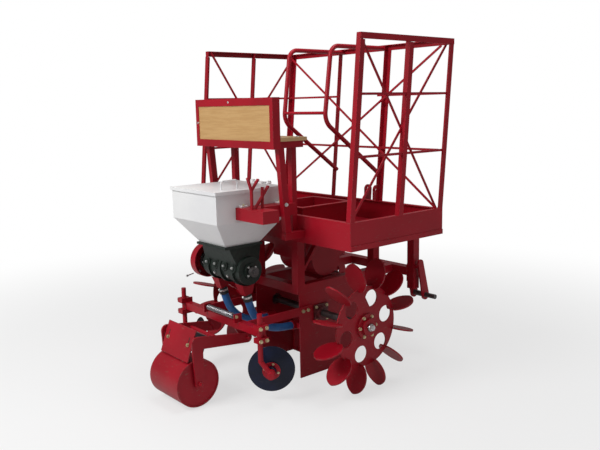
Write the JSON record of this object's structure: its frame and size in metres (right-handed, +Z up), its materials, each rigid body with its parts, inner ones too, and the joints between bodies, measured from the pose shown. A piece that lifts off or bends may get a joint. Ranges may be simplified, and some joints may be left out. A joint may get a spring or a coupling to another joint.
{
  "type": "tractor-mounted sugarcane planter",
  "caption": "Tractor-mounted planter for sugarcane setts with cane tray and racks, seat, fertiliser hopper, furrow opener, lugged drive wheels, covering discs and press roller.",
  "frame": {"origin": "bottom centre of the whole machine on the floor", "axes": "+X forward to the tractor, +Y to the left, +Z up"},
  "size_m": [1.598, 1.324, 1.826],
  "materials": {
    "red_paint": "gloss crimson enamel",
    "white_paint": "satin white",
    "navy_paint": "satin navy",
    "wood": "varnished plywood",
    "hose": "satin blue",
    "dark_casting": "dark painted casting",
    "cast_iron": "painted casting",
    "steel": "machined",
    "spring_steel": "oiled"
  },
  "bodies": {
    "root": {"tray_walls": "red_paint", "tray_floor": "red_paint", "feed_trough": "red_paint", "cutter_housing": "red_paint", "rack_right": "red_paint", "rack_left": "red_paint", "rack_front": "red_paint", "guard_hoops": "red_paint", "main_frame": "red_paint", "headstock": "red_paint", "top_link_mast": "red_paint", "opener_cheeks": "red_paint", "opener_share": "red_paint", "seat_frame": "red_paint", "seat_back_frame": "red_paint", "hopper_beams": "red_paint", "ring_guard": "red_paint", "chain_case": "red_paint", "spouts": "red_paint", "hose_boots": "red_paint", "tool_bar": "red_paint", "drag_arms": "red_paint", "disc_clamps": "red_paint", "disc_shanks": "red_paint", "hopper": "white_paint", "seat_back_board": "wood", "seat_board": "wood", "hose_right": "hose", "hose_left": "hose", "metering_unit": "dark_casting", "axle_bearings": "cast_iron", "lower_link_pins": "steel", "spring": "spring_steel"},
    "ground_wheels": {"axle": "steel", "wheel_right": "red_paint", "wheel_left": "red_paint"},
    "metering": {"metering_shaft": "steel"},
    "disc_right": {"disc_right": "navy_paint"},
    "disc_left": {"disc_left": "navy_paint"},
    "roller_arm": {"roller_fork": "red_paint", "scraper": "red_paint"},
    "roller": {"roller": "red_paint"},
    "lid": {"hopper_lid": "white_paint", "lid_handle": "white_paint"}
  },
  "joints": [
    {"name": "wheels_turn", "type": "hinge", "parent": "root", "child": "ground_wheels", "pos_m": [0.097, 0, 0.34973], "axis": [0, 1, 0], "continuous": true},
    {"name": "metering_turn", "type": "hinge", "parent": "root", "child": "metering", "pos_m": [-0.353, 0, 0.656], "axis": [0, 1, 0], "continuous": true},
    {"name": "disc_right_turn", "type": "hinge", "parent": "root", "child": "disc_right", "pos_m": [-0.379, -0.353, 0.177], "axis": [-0.6428, -0.766, 0], "continuous": true},
    {"name": "disc_left_turn", "type": "hinge", "parent": "root", "child": "disc_left", "pos_m": [-0.379, 0.353, 0.177], "axis": [-0.6428, 0.766, 0], "continuous": true},
    {"name": "roller_arm_lift", "type": "hinge", "parent": "root", "child": "roller_arm", "pos_m": [-0.373, 0, 0.3], "axis": [0, 1, 0], "range_deg": [0, 12]},
    {"name": "roller_turn", "type": "hinge", "parent": "roller_arm", "child": "roller", "pos_m": [-0.676, 0, 0.126], "axis": [0, 1, 0], "continuous": true},
    {"name": "lid_open", "type": "hinge", "parent": "root", "child": "lid", "pos_m": [-0.144, 0, 1.091], "axis": [0, 1, 0], "range_deg": [0, 30]}
  ],
  "couplings": [
    {"joint": "metering_turn", "follows": "wheels_turn", "ratio": 0.6}
  ]
}
